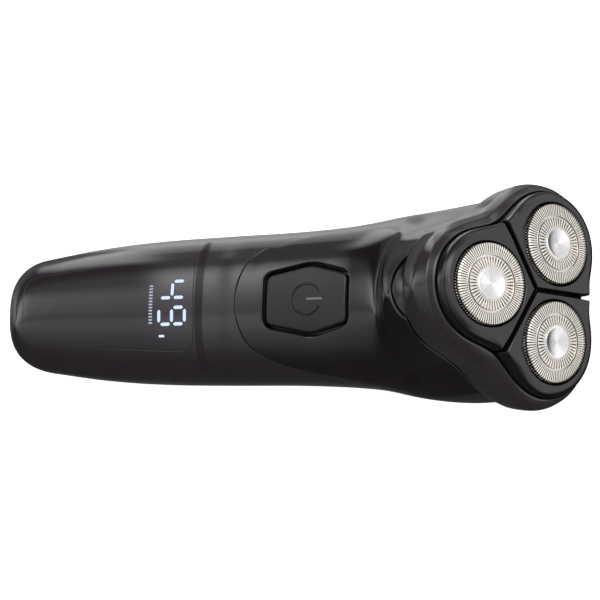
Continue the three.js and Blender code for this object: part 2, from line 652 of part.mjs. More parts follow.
function cuttingUnit({ name, turn }, padBody) {
  const sector = new THREE.Group();
  sector.rotation.z = turn;
  head.add(sector);
  addPiece(sector, 'pad_' + name, padBody, 'satin');

  const unit = new THREE.Group();
  unit.position.x = CUTTER_CIRCLE;
  unit.rotation.y = CUTTER_TILT;
  sector.add(unit);

  const guard = lathe([[4.9, -0.1], [4.9, 0.9], [7.9, 0.9], [8.0, 0.6], [8.2, 0.6], [8.3, 0.9],
    [10.9, 0.9], [GUARD_RADIUS, 0.55], [GUARD_RADIUS, -4.4], [10.6, -4.4], [10.6, -0.1],
    [4.9, -0.1]], 28);
  addPiece(unit, 'guard_' + name, guard, 'steel');
  const cap = lathe([[0, -0.1], [4.3, -0.1], [4.6, 0.1], [4.6, 0.9], [4.2, 1.05], [3.4, 0.85],
    [0, 0.65]], 16);
  addPiece(unit, 'guard_cap_' + name, cap, 'aluminium');

  // Turning cutter: a toothed disc on a hub with a six-sided socket underneath.
  const teeth = 15;
  const points = [];
  for (let i = 0; i < teeth; i++) {
    for (const [r, share] of [[7.4, -0.32], [10.1, -0.12], [10.1, 0.12], [7.4, 0.32]]) {
      const angle = ((i + share) * 2 * Math.PI) / teeth;
      points.push(new THREE.Vector2(r * Math.cos(angle), r * Math.sin(angle)));
    }
  }
  const socket = new THREE.Shape(Array.from({ length: 6 }, (_, i) =>
    new THREE.Vector2(3.5 * Math.cos((i * Math.PI) / 3), 3.5 * Math.sin((i * Math.PI) / 3))));
  const cutter = prism(new THREE.Shape(points), -1.7, -0.5)
    .add(rod(4.7, -6.6, -1.5, 0, 0, 20))
    .subtract(prism(socket, -8, -1.9));
  addPiece(unit, 'cutter_' + name, cutter, 'steel');
}

// ---- Assembly ----

handleShells();
controls();
electronics();
chargingInlet();
drive();
headHousing();
retainingFrame();
const padBody = padSolid();
for (const lobe of LOBES) {
  cuttingUnit(lobe, padBody);
}

export default shaver;
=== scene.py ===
import json
import math

import bpy
import numpy as np
from mathutils import Matrix, Vector
from mathutils.geometry import delaunay_2d_cdt

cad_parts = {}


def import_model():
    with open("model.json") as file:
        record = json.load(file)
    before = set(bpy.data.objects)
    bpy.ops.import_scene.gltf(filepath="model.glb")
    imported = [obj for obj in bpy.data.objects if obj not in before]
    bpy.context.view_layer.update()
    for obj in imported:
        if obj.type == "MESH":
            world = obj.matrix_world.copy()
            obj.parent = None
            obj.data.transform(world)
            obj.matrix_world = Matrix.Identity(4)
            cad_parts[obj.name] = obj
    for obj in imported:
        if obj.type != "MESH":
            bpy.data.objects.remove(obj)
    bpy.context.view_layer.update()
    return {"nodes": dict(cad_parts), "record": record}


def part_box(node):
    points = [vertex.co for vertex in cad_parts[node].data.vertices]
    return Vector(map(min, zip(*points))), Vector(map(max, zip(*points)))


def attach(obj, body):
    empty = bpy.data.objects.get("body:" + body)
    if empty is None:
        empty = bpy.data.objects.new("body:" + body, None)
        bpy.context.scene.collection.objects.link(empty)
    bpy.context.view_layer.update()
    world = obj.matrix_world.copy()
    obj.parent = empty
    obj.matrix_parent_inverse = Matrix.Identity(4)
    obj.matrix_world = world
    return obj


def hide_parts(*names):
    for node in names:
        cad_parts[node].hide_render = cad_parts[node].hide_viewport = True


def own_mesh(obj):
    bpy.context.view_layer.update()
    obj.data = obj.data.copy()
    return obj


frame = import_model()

MM = 0.001
TURN = 2 * math.pi

# ---- Driving dimensions, in millimetres, as the CAD frame has them ----

SPINE = 174.5  # charging end of the spine to the centre of the cutter face
HEAD_TILT = math.radians(32)
BEND_FROM, BEND_TO = SPINE - 61, SPINE - 21
BELLY = 18.35  # spine to the flat of the back
HALF_WIDTH = [(0, 15.4), (14, 17.4), (28, 19.4), (42, 20.7), (56, 21.4), (72, 21.8),
              (88, 22.1), (102, 22.7), (116, 23.9), (130, 26.2), (154, 28.8)]
FRONT_HEIGHT = [(0, 13), (20, 16), (60, 18.5), (100, 19), (130, 21.5), (154, 28)]
BACK_HEIGHT = [(0, 13), (20, 16.4), (46, 18.4), (60, 18.5), (112, 18.4), (121, 18), (130, 16.6),
               (154, 22.5)]
SECTION_POWER = 2.5  # of the handle's rounded-square section
END_ROUND, END_FLAT, DOME_POWER = 12, 0.36, 2.3  # the rounded charging end
DOME_SKIN = 17  # length of the skin over the rounded end
FLARE_FROM, FLARE_LONG = SPINE - 62, 41.5  # where the handle's section turns into the head's clover
# The head's three-lobed outline by its height below the cutters: mean radius, depth of the lobes
CLOVER_MEAN = [(-20.5, 26.9), (-15.5, 29.3), (-11, 29.6), (-7, 28.6), (-4.6, 27.0)]
CLOVER_LOBES = [(-20.5, 3.7), (-15.5, 4.3), (-11, 4.8), (-7, 5.0), (-4.6, 5.1)]
CLOVER_SHAPE = -0.37
NECK_TOP = -20.8
HOUSING_BOTTOM, HOUSING_TOP = -20.2, -4.6
CUTTER_CIRCLE = 15.83
CUTTER_TILT = math.radians(4.6)
PAD_HOLE = 11.9
PAD_RIM = 0.8  # from the housing's top edge in to the pads
GROOVE = 1.3  # between two pads
LOBES = {"front": math.pi, "left": math.pi / 3, "right": -math.pi / 3}
SHELL_WALL = 2
HINGE_X, HINGE_Z, KNUCKLE = 24, -20.5, 1.9
# Along the hinge, from its middle: the handle's knuckles, their rooms in the head, the head's barrel
KNUCKLE_ENDS, ROOM_ENDS, BARREL_END = (5.3, 9.3), (5.1, 9.7), 4.8

# The charging end and the belly fix where the spine lies in the frame.
START_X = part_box("charging_inlet")[0].x / MM
SPINE_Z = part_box("rear_shell")[0].z / MM + BELLY


# ---- Curves and the outer surface ----

def smoother(x):
    """0 below 0, 1 above 1, and a smooth step between."""
    t = np.clip(x, 0, 1)
    return t ** 3 * (t * (6 * t - 15) + 10)


def curve_through(points):
    """Monotone cubic through (x, y) points, flat beyond both ends."""
    xs, ys = (np.array(v, float) for v in zip(*points))
    slope = np.diff(ys) / np.diff(xs)
    a, b = slope[:-1], slope[1:]
    safe = np.where(a + b == 0, 1, a + b)
    middle = np.where(a * b <= 0, 0, 2 * a * b / safe)
    tangent = np.concatenate([slope[:1], middle, slope[-1:]])

    def value(x):
        x = np.clip(x, xs[0], xs[-1])
        i = np.clip(np.searchsorted(xs, x, side="right") - 1, 0, len(xs) - 2)
        h = xs[i + 1] - xs[i]
        t = (x - xs[i]) / h
        rise = ys[i + 1] - ys[i]
        start = tangent[i] * h - rise
        end = rise - tangent[i + 1] * h
        return ys[i] + t * rise + t * (1 - t) * (start * (1 - t) + end * t)
    return value


half_width = curve_through(HALF_WIDTH)
front_height = curve_through(FRONT_HEIGHT)
back_height = curve_through(BACK_HEIGHT)
clover_mean = curve_through(CLOVER_MEAN)
clover_lobes = curve_through(CLOVER_LOBES)


def lean(s):
    """Tilt of the spine, which bends up towards the head."""
    return HEAD_TILT * smoother((s - BEND_FROM) / (BEND_TO - BEND_FROM))


SPINE_STEP = 0.25
spine_s = np.arange(0, SPINE + 1.5, SPINE_STEP)
steps = lean(spine_s[:-1] + SPINE_STEP / 2)
spine_x = np.concatenate([[0], np.cumsum(np.cos(steps) * SPINE_STEP)])
spine_z = np.concatenate([[0], np.cumsum(np.sin(steps) * SPINE_STEP)])


def clover(angle, level):
    """Radius of the head's outline."""
    return (clover_mean(level) + clover_lobes(level) * np.cos(3 * angle)
            + CLOVER_SHAPE * np.cos(6 * angle))


def radius_at(s, angle):
    """Section radius; angle 0 is the front, +90 degrees is +Y."""
    height = np.where(np.cos(angle) > 0, front_height(s), back_height(s))
    deep = (np.abs(np.cos(angle)) / height) ** SECTION_POWER
    side = (np.abs(np.sin(angle)) / half_width(s)) ** SECTION_POWER
    oval = (deep + side) ** (-1 / SECTION_POWER)
    dome = (1 - np.maximum(0, 1 - s / END_ROUND) ** DOME_POWER) ** (1 / DOME_POWER)
    blend = smoother((s - FLARE_FROM) / FLARE_LONG)
    handle = oval * (END_FLAT + (1 - END_FLAT) * dome)
    return (1 - blend) * handle + blend * clover(angle, s - SPINE)


def station(a):
    """Distance along the spine for a distance along the skin, which is longer over the rounded end."""
    turn = np.clip(a / DOME_SKIN, 0, 1) * math.pi / 2
    over_dome = END_ROUND * (1 - np.cos(turn) ** (2 / DOME_POWER))
    return np.where(a < DOME_SKIN, over_dome, END_ROUND + a - DOME_SKIN)


def skin_length(s):
    """The reverse of station, beyond the rounded end."""
    return s - END_ROUND + DOME_SKIN


def bare_point(a, angle):
    """A point of the surface before the belly is cut flat."""
    s = station(a)
    x, z, t = np.interp(s, spine_s, spine_x), np.interp(s, spine_s, spine_z), lean(s)
    r = radius_at(s, angle)
    u = r * np.cos(angle)
    return np.stack([START_X + x - np.sin(t) * u, r * np.sin(angle), SPINE_Z + z + np.cos(t) * u], -1)


def unit(v):
    """Vectors scaled to a length of one."""
    return v / np.maximum(np.linalg.norm(v, axis=-1, keepdims=True), 1e-12)


NUDGE_ALONG, NUDGE_AROUND = 0.05, 0.002


def surface(a, angle):
    """Points of the outer surface with their normals and their two tangents, in millimetres."""
    a, angle = np.broadcast_arrays(np.asarray(a, float), np.asarray(angle, float))
    low, high = np.maximum(a - NUDGE_ALONG, 0), a + NUDGE_ALONG
    along = unit(bare_point(high, angle) - bare_point(low, angle))
    around = unit(bare_point(a, angle + NUDGE_AROUND) - bare_point(a, angle - NUDGE_AROUND))
    point, normal = bare_point(a, angle), unit(np.cross(along, around))
    belly = point[..., 2] < 0
    point[..., 2] = np.maximum(point[..., 2], 0)
    normal[belly] = (0, 0, -1)
    return point, normal, along, around


head_x = START_X + float(np.interp(SPINE, spine_s, spine_x))
head_z = SPINE_Z + float(np.interp(SPINE, spine_s, spine_z))
HEAD = Matrix(((math.sin(HEAD_TILT), 0, math.cos(HEAD_TILT), head_x * MM),
               (0, 1, 0, 0),
               (-math.cos(HEAD_TILT), 0, math.sin(HEAD_TILT), head_z * MM),
               (0, 0, 0, 1)))  # x points to the rear hinge, z is the head's axis


# ---- Camera: a long lens in front of the shaver, turned towards its head ----

def add(name, data):
    """A new object in the scene."""
    made = bpy.data.objects.new(name, data)
    bpy.context.scene.collection.objects.link(made)
    return made


LENS, SENSOR = 174.8, 36
CAMERA_RIGHT, CAMERA_UP = Vector((0.9300, 0.0250, -0.3666)), Vector((0.0301, 0.9892, 0.1436))
CAMERA_BACK = 800
HEAD_ASIDE, HEAD_ABOVE = 64.3, 2.75  # where the head lies from the middle of the view


def camera():
    """The main view, from a good way in front and to the side."""
    data = bpy.data.cameras.new("camera")
    data.lens = LENS
    data.sensor_width = SENSOR
    data.clip_end = 10
    cam = add("camera", data)
    back = CAMERA_RIGHT.cross(CAMERA_UP).normalized()
    right = CAMERA_UP.cross(back).normalized()
    up = back.cross(right)
    aim = Vector((head_x, 0, head_z)) - HEAD_ASIDE * right - HEAD_ABOVE * up
    place = (aim + CAMERA_BACK * back) * MM
    cam.matrix_world = Matrix((
        (right.x, up.x, back.x, place.x), (right.y, up.y, back.y, place.y),
        (right.z, up.z, back.z, place.z), (0, 0, 0, 1)))
    bpy.context.scene.camera = cam


camera()


# ---- Mesh tools ----

SHARP = 35  # degrees from which an edge shows


def link(name, vertices, faces, normals=None, matrix=Matrix(), sharp=None):
    """A mesh object from points in millimetres."""
    mesh = bpy.data.meshes.new(name)
    mesh.from_pydata([tuple(v * MM) for v in np.asarray(vertices, float)], [], faces)
    mesh.validate()
    mesh.update()
    mesh.shade_smooth()
    if normals is not None:
        mesh.normals_split_custom_set_from_vertices([tuple(n) for n in normals])
    if sharp is not None:
        mesh.set_sharp_from_angle(angle=math.radians(sharp))
    piece = add(name, mesh)
    piece.matrix_world = matrix
    return piece


def finish_piece(piece, body, look, replaced=()):
    """Gives a piece its finish and the body it moves with, and hides the CAD nodes it stands for."""
    piece.data.materials.clear()
    piece.data.materials.append(look)
    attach(piece, body)
    if replaced:
        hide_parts(*replaced)
    return piece


def cut(piece, tools):
    """Cuts the tools out of a piece; the tools are used up."""
    for tool in tools:
        change = piece.modifiers.new("cut", "BOOLEAN")
        change.operation = "DIFFERENCE"
        change.object = tool
        change.solver = "EXACT"
    bpy.context.view_layer.update()
    evaluated = piece.evaluated_get(bpy.context.evaluated_depsgraph_get())
    mesh = bpy.data.meshes.new_from_object(evaluated)
    piece.modifiers.clear()
    piece.data = mesh
    for tool in tools:
        bpy.data.objects.remove(tool)


def grid_faces(rows, columns, wrap_rows, wrap_columns):
    """Four-sided faces between the points of a grid, which may close on itself either way."""
    faces = []
    for i in range(rows if wrap_rows else rows - 1):
        for j in range(columns if wrap_columns else columns - 1):
            a, b = i * columns + j, i * columns + (j + 1) % columns
            k = (i + 1) % rows
            faces.append((a, b, k * columns + (j + 1) % columns, k * columns + j))
    return faces


def loft(name, rows, matrix, sharp=SHARP):
    """A closed ring-shaped piece through rows of points."""
    rows = np.asarray(rows)
    faces = grid_faces(rows.shape[0], rows.shape[1], True, True)
    return link(name, rows.reshape(-1, 3), faces, matrix=matrix, sharp=sharp)


def run_lengths(line):
    """Distance run along a line at each of its points."""
    return np.concatenate([[0], np.cumsum(np.linalg.norm(np.diff(line, axis=0), axis=1))])


def resample(loop, spacing):
    """A closed outline with its points spread evenly."""
    p = np.vstack([loop, loop[:1]])
    run = run_lengths(p)
    count = max(4, int(round(run[-1] / spacing)))
    t = np.linspace(0, run[-1], count + 1)
    return np.stack([np.interp(t, run, p[:, 0]), np.interp(t, run, p[:, 1])], -1)[:-1]


def signed_area(loop):
    """Positive for an outline that runs counterclockwise."""
    x, y = loop[:, 0], loop[:, 1]
    return 0.5 * np.sum(x * np.roll(y, -1) - y * np.roll(x, -1))


def left_normals(loop):
    """Unit normals to the left of each point of a closed outline."""
    ahead = unit(np.roll(loop, -1, 0) - np.roll(loop, 1, 0))
    return np.stack([-ahead[:, 1], ahead[:, 0]], -1)


def inside(points, loop):
    """Whether each point lies inside an outline."""
    x, y = points[:, 0][:, None], points[:, 1][:, None]
    x0, y0 = loop[:, 0], loop[:, 1]
    x1, y1 = np.roll(x0, -1), np.roll(y0, -1)
    crosses = (y0 > y) != (y1 > y)
    at = x0 + (y - y0) * (x1 - x0) / np.where(y1 == y0, 1e-9, y1 - y0)
    return (np.sum(crosses & (x < at), axis=1) % 2) == 1


def in_region(points, loops):
    """Whether each point lies inside the first outline and outside the others, its holes."""
    hit = inside(points, loops[0])
    for hole in loops[1:]:
        hit &= ~inside(points, hole)
    return hit


HALVINGS = 30  # of a search between two bounds
AROUND = 22.0  # millimetres of skin per radian, where the skin is laid out flat
EDGE_BENDS = np.radians([90, 66, 44, 22, 0])  # across a rounded edge, from upright to flat
OUTLINE_STEP = 0.7
LATTICE_ROWS = 0.866  # how far apart they are, for points one apart


def filling(loops, edge, spacing):
    """Points of a triangular lattice inside the outlines, clear of their edges."""
    border = np.vstack(loops)
    low, high = border.min(0), border.max(0)
    xs = np.arange(low[0] + spacing / 2, high[0], spacing)
    ys = np.arange(low[1] + spacing / 2, high[1], spacing * LATTICE_ROWS)
    gx, gy = np.meshgrid(xs, ys)
    gx = gx + (np.arange(len(ys)) % 2)[:, None] * spacing / 2
    inner = np.stack([gx.ravel(), gy.ravel()], -1)
    inner = inner[in_region(inner, loops)]
    gaps = np.array([np.linalg.norm(border - point, axis=1).min() for point in inner])
    return inner[gaps > edge + 0.55 * spacing]


def triangles(flat, edges, loops):
    """Triangles between flat points that keep the given edges and stay within the outlines."""
    result = delaunay_2d_cdt([Vector(p) for p in flat], edges, [], 0, 1e-6)
    out, faces, source = result[0], result[2], result[3]
    order = np.array([src[0] if src else -1 for src in source])
    out = np.array([tuple(v) for v in out])
    faces = [f for f in faces if min(order[list(f)]) >= 0]
    centres = np.array([out[list(f)].mean(0) for f in faces])
    return [tuple(order[list(f)]) for f, ok in zip(faces, in_region(centres, loops)) if ok]


def patch(name, loops, edge, wall=SHELL_WALL, rise=None, spacing=1.1):
    """A closed piece of the outer skin: flat outlines (first the border, then holes) laid on the surface.

    Its edges are rounded by radius edge and go down by wall. rise(a, angle) lifts the skin.
    """
    loops = [resample(loop, OUTLINE_STEP) for loop in loops]
    loops = [loop if (signed_area(loop) > 0) == (i == 0) else loop[::-1] for i, loop in enumerate(loops)]
    flat, bend, outward, edges = [], [], [], []
    for loop in loops:
        normals, n = left_normals(loop), len(loop)
        for beta in EDGE_BENDS:
            start = sum(len(f) for f in flat)
            edges += [(start + i, start + (i + 1) % n) for i in range(n)]
            flat.append(loop + normals * edge * (1 - math.sin(beta)))
            bend.append(np.full(n, beta))
            outward.append(-normals)
    inner = filling(loops, edge, spacing)
    flat, bend = np.vstack(flat + [inner]), np.concatenate(bend + [np.zeros(len(inner))])
    outward = np.vstack(outward + [np.zeros((len(inner), 2))])
    faces = triangles(flat, edges, loops)

    def risen(move_along, move_around):
        """The lifted skin at points moved a little from the flat ones."""
        a, angle = flat[:, 0] + move_along, (flat[:, 1] + move_around) / AROUND
        base, out, _, _ = surface(a, angle)
        return base + out * rise(a, angle)[:, None]

    point, normal, along, around = surface(flat[:, 0], flat[:, 1] / AROUND)
    top, up = point, normal
    if rise is not None:
        top = risen(0, 0)
        up = unit(np.cross(risen(0.1, 0) - risen(-0.1, 0), risen(0, 0.1) - risen(0, -0.1)))
        up = up * np.sign((up * normal).sum(1))[:, None]
    sideways = unit(outward[:, :1] * along + outward[:, 1:] * around)
    top = top - normal * (edge * (1 - np.cos(bend)))[:, None]
    shade = unit(up * np.cos(bend)[:, None] + sideways * np.sin(bend)[:, None])
    count = len(top)
    faces += [tuple(count + i for i in reversed(face)) for face in faces]
    first = 0
    for loop in loops:
        n = len(loop)
        for i in range(n):
            a, b = first + i, first + (i + 1) % n
            faces.append((a, count + a, count + b, b))
        first += n * len(EDGE_BENDS)
    return link(name, np.concatenate([top, point - normal * wall]), faces, np.concatenate([shade, -normal]))


# ---- Outlines of the handle's pieces, as (distance along the spine, y) ----

def lay_out(points):
    """Outline points (x along the spine, y) as flat skin coordinates."""
    p = np.asarray(points, float)
    s, y = p[:, 0], p[:, 1]
    low, high = np.zeros(len(p)), np.full(len(p), math.pi / 2)
    for _ in range(HALVINGS):
        middle = (low + high) / 2
        wide = radius_at(s, middle) * np.sin(middle) > np.abs(y)
        low, high = np.where(wide, low, middle), np.where(wide, middle, high)
    return np.stack([skin_length(s), np.sign(y) * low * AROUND], -1)


def rounded(corners, radius, steps):
    """An outline with its corners rounded."""
    c = np.asarray(corners, float)
    out = []
    for i in range(len(c)):
        before, after = c[i - 1] - c[i], c[(i + 1) % len(c)] - c[i]
        start = c[i] + unit(before) * radius
        end = c[i] + unit(after) * radius
        for t in np.linspace(0, 1, steps):
            out.append((1 - t) ** 2 * start + 2 * t * (1 - t) * c[i] + t * t * end)
    return np.array(out)


def grown(loop, distance):
    """A closed outline moved outwards by a distance."""
    loop = loop if signed_area(loop) > 0 else loop[::-1]
    return loop - left_normals(loop) * distance


SEAM = math.radians(89.6) * AROUND  # between the front and the rear shell
TOP = skin_length(SPINE + NECK_TOP)
TONGUE_NOSE, TONGUE_END = 78.3, 129  # the neck cover's border: on the middle line and at the seams
TONGUE_SIDE = [(79.2, 6.5), (82, 12.2), (88, 16.6), (98, 19.6), (110, 21.9), (118, 23.75)]


def tongue_line():
    """The neck cover's border round its nose, from the seam on -Y to the seam on +Y, laid flat."""
    points = lay_out([(TONGUE_NOSE, 0.001)] + TONGUE_SIDE)
    points = np.vstack([points, [skin_length(TONGUE_END), SEAM]])
    mirrored = points[1:] * (1, -1)
    full = np.vstack([mirrored[::-1], points])
    run = run_lengths(full)
    t = np.linspace(0, run[-1], 160)
    return np.clip(curve_2d(run, full, t), (-np.inf, -SEAM), (np.inf, SEAM))


def curve_2d(run, points, t):
    """Catmull-Rom curve through points at given run lengths."""
    tangent = np.gradient(points, run, axis=0)
    i = np.clip(np.searchsorted(run, t, side="right") - 1, 0, len(run) - 2)
    h = (run[i + 1] - run[i])[:, None]
    u = (t - run[i])[:, None] / h
    return ((2 * u ** 3 - 3 * u ** 2 + 1) * points[i] + (u ** 3 - 2 * u ** 2 + u) * h * tangent[i]
            + (3 * u ** 2 - 2 * u ** 3) * points[i + 1] + (u ** 3 - u ** 2) * h * tangent[i + 1])


WINDOW_CORNERS = [(9, -9.5), (65, -14), (65, 14), (9, 9.5)]


def window_loop():
    """Border of the display window."""
    return lay_out(rounded(WINDOW_CORNERS, 4.5, 12))


def front_shell_loops():
    """Front shell from seam to seam, up to the neck cover, with the display window's opening."""
    tongue = tongue_line()
    end_gap = (0.3, 0)
    gap = tongue + left_normals(tongue) * 0.12  # the line runs from -Y to +Y, so left is away from the head
    gap[0], gap[-1] = tongue[0] - end_gap, tongue[-1] - end_gap
    border = np.vstack([[(0, -SEAM)], gap, [(0, SEAM)]])
    return [border, grown(window_loop(), 0.06)]


BUTTON_CORNERS = [(87.4, -7.5), (102, -10.6), (113.4, -7.5), (113.4, 7.5), (102, 10.6), (87.4, 7.5)]


def button_loop():
    """Border of the power button's opening, six-sided."""
    return lay_out(rounded(BUTTON_CORNERS, 2.4, 10))


NOTCH_DEEP, NOTCH_HALF = 4.6, math.radians(17)  # finger recess: length on the skin, half its angle


def notch_line():
    """Border of the eye-shaped finger recess under the head, from +Y to -Y."""
    t = np.linspace(-1, 1, 25)
    return np.stack([TOP - NOTCH_DEEP * (1 - t * t) ** 0.8, -t * NOTCH_HALF * AROUND], -1)


def neck_loops():
    """Neck cover from its nose to the head, with the openings of the button and the finger recess."""
    border = np.vstack([tongue_line(), [(TOP, SEAM)], notch_line(), [(TOP, -SEAM)]])
    return [border, grown(button_loop(), 0.3)]


def rear_loops():
    """Rear shell from seam to seam; a notch at the top makes room for the head's hinge."""
    far = TURN * AROUND - SEAM
    middle, half, deep = math.pi * AROUND, 4.9, 2.2
    return [np.array([(0, SEAM), (0, far), (TOP, far), (TOP, middle + half), (TOP - deep, middle + half),
                      (TOP - deep, middle - half), (TOP, middle - half), (TOP, SEAM)])]


# ---- Looks ----

def set_inputs(made, **inputs):
    """Sets a node's inputs by name, with _ for a space."""
    for key, value in inputs.items():
        made.inputs[key.replace("_", " ")].default_value = value
    return made


def node(tree, kind, **inputs):
    """A new shader node of some kind, with some of its inputs set."""
    return set_inputs(tree.nodes.new("ShaderNode" + kind), **inputs)


def maths(tree, operation, *values):
    """A calculation on numbers or node outputs; gives the node's output."""
    made = node(tree, "Math")
    made.operation = operation
    for i, value in enumerate(values):
        if isinstance(value, (int, float)):
            made.inputs[i].default_value = value
        else:
            tree.links.new(value, made.inputs[i])
    return made.outputs[0]


def ramp_between(tree, value, start, end):
    """0 before start, 1 after end, smooth between."""
    made = node(tree, "MapRange", From_Min=start, From_Max=end)
    made.interpolation_type = "SMOOTHSTEP"
    tree.links.new(value, made.inputs["Value"])
    return made.outputs["Result"]


def mixed(tree, factor, first, second):
    """A colour between two others, by a node output."""
    made = node(tree, "Mix")
    made.data_type = "RGBA"
    set_inputs(made, A=(*first, 1), B=(*second, 1))
    tree.links.new(factor, made.inputs["Factor"])
    return made.outputs["Result"]


def material(name):
    """A new material, its node tree, its shader and its coordinates."""
    made = bpy.data.materials.new(name)
    made.use_nodes = True
    tree = made.node_tree
    place = node(tree, "TexCoord")
    return made, tree, tree.nodes["Principled BSDF"], place.outputs["Object"]


CLOUD_SCALE, GRAIN_SCALE = 35.0, 3000.0
COAT_ROUGH, ROUGH_VARY = 0.04, 0.15


def look(name, colour, rough, metallic=0.0, coat=0.0, grain=0.02, vary=0.15, specular=0.5):
    """A moulded or metal finish: cloudy colour, and a fine grain in its roughness and relief."""
    made, tree, shader, place = material(name)
    join = tree.links.new
    set_inputs(shader, Metallic=metallic, Coat_Weight=coat, Coat_Roughness=COAT_ROUGH,
               Specular_IOR_Level=specular)
    cloud = node(tree, "TexNoise", Scale=CLOUD_SCALE, Detail=3.0)
    fine = node(tree, "TexNoise", Scale=GRAIN_SCALE, Detail=2.0)
    join(place, cloud.inputs["Vector"])
    join(place, fine.inputs["Vector"])
    darker, lighter = [c * (1 - vary) for c in colour], [c * (1 + vary) for c in colour]
    join(mixed(tree, cloud.outputs["Fac"], darker, lighter), shader.inputs["Base Color"])
    spread = node(tree, "MapRange", To_Min=rough * (1 - ROUGH_VARY), To_Max=rough * (1 + ROUGH_VARY))
    join(fine.outputs["Fac"], spread.inputs["Value"])
    join(spread.outputs["Result"], shader.inputs["Roughness"])
    relief = node(tree, "Bump", Strength=grain, Distance=0.0002)
    join(fine.outputs["Fac"], relief.inputs["Height"])
    join(relief.outputs["Normal"], shader.inputs["Normal"])
    return made


LOOKS = {
    "shell": look("shell", (0.0175, 0.0145, 0.018), 0.12, grain=0.004),
    "head": look("head", (0.0245, 0.0212, 0.0235), 0.12, grain=0.004),
    "piano": look("piano", (0.0076, 0.0056, 0.007), 0.07, grain=0.002),
    "satin": look("satin", (0.0075, 0.0072, 0.0068), 0.34, grain=0.06, specular=0.42),
    "pad": look("pad", (0.0065, 0.0062, 0.0065), 0.17, grain=0.015),
    "lens": look("lens", (0.0155, 0.013, 0.016), 0.09, grain=0.002),
    "steel": look("steel", (0.62, 0.6, 0.56), 0.25, metallic=1.0, grain=0.05),
    "aluminium": look("aluminium", (0.78, 0.77, 0.76), 0.2, metallic=1.0, grain=0.03),
    "rubber": look("rubber", (0.018, 0.018, 0.018), 0.75, grain=0.3),
    "nylon": look("nylon", (0.72, 0.7, 0.62), 0.45, grain=0.1),
    "board": look("board", (0.02, 0.12, 0.05), 0.4, coat=0.4, grain=0.05),
    "battery": look("battery", (0.04, 0.15, 0.33), 0.3, coat=0.5),
    "dark": look("dark", (0.035, 0.035, 0.038), 0.5, grain=0.2),
    "nickel": look("nickel", (0.6, 0.57, 0.52), 0.28, metallic=1.0),
    # near-black, for painted shade: the sheet under the button's gap and the power ring's groove
    "painted_shade_black": look("painted_shade_black", (0.0015, 0.0015, 0.0015), 0.22, grain=0.01, specular=0.3),
    "pale_line": look("pale_line", (0.14, 0.14, 0.13), 0.35, grain=0.01),
}


def dress_cad():
    """Every CAD node that stays visible gets the finish of its material slot."""
    slots = {row["node"]: row["material_slot"] for row in frame["record"]["subparts"]}
    for name, piece in frame["nodes"].items():
        piece.data.materials.clear()
        piece.data.materials.append(LOOKS[slots[name]])


dress_cad()


# ---- Handle ----

NECK_PROUD, NOSE_CROWN, CROWN_LONG = 0.28, 0.12, 7
DIP_DEEP, DIP_FROM, DIP_TO = 0.3, 64.8, 81
BUTTON_PROUD, BUTTON_GAP = 0.25, 0.5
GAP_SHADE_OUT, GAP_SHADE_IN, GAP_SHADE_DEEP = 1.3, 1.6, 2.3  # near-black ring of painted shade under the button's gap; from the button's border: outwards, inwards, down
NOTCH_EDGE, NOTCH_DISH = 0.35, 1.25


def neck_rise(a, angle):
    """The neck cover stands a little proud, with a crowned nose, and runs out flush at the side seams."""
    line = tongue_line()
    line = line[line[:, 1] >= 0]
    inward = a - np.interp(np.abs(angle) * AROUND, line[:, 1], line[:, 0])
    proud = NECK_PROUD + NOSE_CROWN * smoother(inward / CROWN_LONG)
    return proud * smoother((math.pi / 2 - np.abs(angle)) / 0.6)


def dip(a, angle):
    """Shallow dip of the front shell between the display and the neck cover."""
    s = station(a)
    lengthwise = smoother((s - DIP_FROM) / 4) * (1 - smoother((s - DIP_TO + 12) / 12))
    return -DIP_DEEP * lengthwise * (1 - smoother((np.abs(angle) - 0.8) / 0.6))


def notch_floor(a, angle):
    """The finger recess is dished."""
    across = np.clip(np.abs(angle) / NOTCH_HALF, 0, 1)
    along = np.clip((TOP - a) / NOTCH_DEEP, 0, 1)
    return -NOTCH_EDGE - NOTCH_DISH * np.sqrt(np.clip(1 - across ** 2 - along ** 2, 0, 1))


def level_at(height):
    """The same height above the skin everywhere."""
    return lambda a, angle: np.full(a.shape, height)


def both_sides(ends):
    """Where a part of the hinge and its mirror image begin and end, along y."""
    low, high = ends
    return {"left": (low, high), "right": (-high, -low)}


def barrel(name, radius, low, high, web=0):
    """A hinge barrel along y in the head's frame, its ends slightly rounded.

    A web joins it to the part it belongs to: upwards by web, or downwards if web is negative.
    """
    bevel = 0.2
    turn = TURN * np.arange(48) / 48
    outline = np.stack([HINGE_X + radius * np.cos(turn), HINGE_Z + radius * np.sin(turn)], -1)
    if web:
        reach = (outline[:, 1] - HINGE_Z) * math.copysign(1, web)
        pulled = reach > 0
        outline[pulled, 0] = np.clip(outline[pulled, 0], HINGE_X - KNUCKLE, HINGE_X + 1)
        outline[pulled, 1] = np.where(reach[pulled] > radius / 2, HINGE_Z + web, outline[pulled, 1])
    centre = outline.mean(0)
    vertices = []
    for y, shrink in ((low, bevel), (low + bevel, 0), (high - bevel, 0), (high, bevel)):
        ring = outline + (centre - outline) * shrink / radius
        vertices += [(x, y, z) for x, z in ring]
    n = len(outline)
    faces = [face[::-1] for face in grid_faces(4, n, False, True)]
    faces += [tuple(range(n)), tuple(range(3 * n, 4 * n))[::-1]]
    return link(name, vertices, faces, matrix=HEAD, sharp=SHARP)


